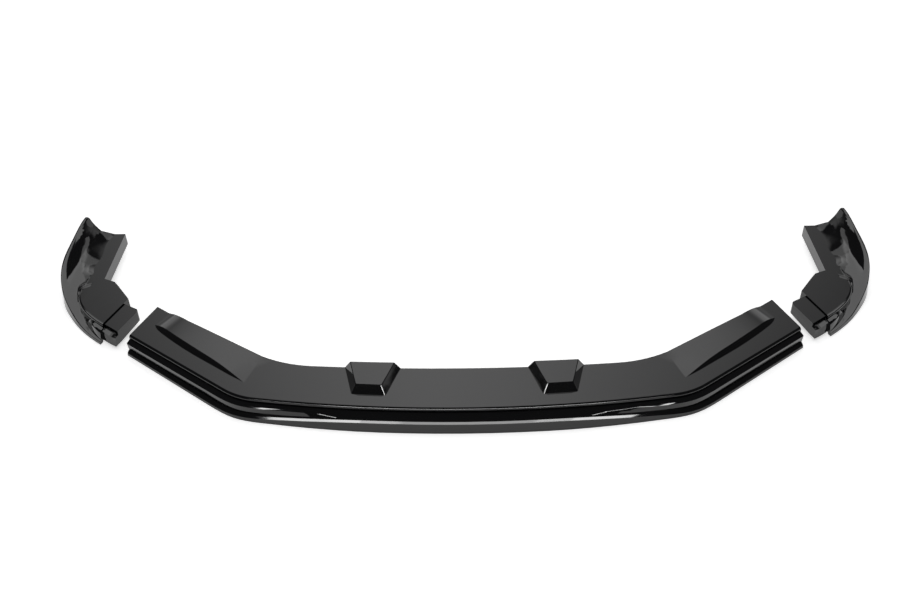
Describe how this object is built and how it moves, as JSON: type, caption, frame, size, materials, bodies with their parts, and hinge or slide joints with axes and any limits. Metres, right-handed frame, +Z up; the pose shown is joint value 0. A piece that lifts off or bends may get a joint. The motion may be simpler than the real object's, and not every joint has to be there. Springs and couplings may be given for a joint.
{
  "type": "front splitter lip",
  "caption": "Low front splitter lip for a car: a wide swept centre section with raised bosses, and mirrored corner pieces with joint tongues.",
  "frame": {"origin": "on the floor under the middle of the box round all three mouldings", "axes": "+X along the lip to its right-hand end as a viewer in front sees it, +Y from the car's nose towards its tail, +Z up"},
  "size_m": [1.8428, 0.576, 0.0998],
  "materials": {
    "gloss_black": "gloss"
  },
  "bodies": {
    "root": {"centre_section": "gloss_black", "corner_left": "gloss_black", "corner_right": "gloss_black"}
  },
  "joints": []
}
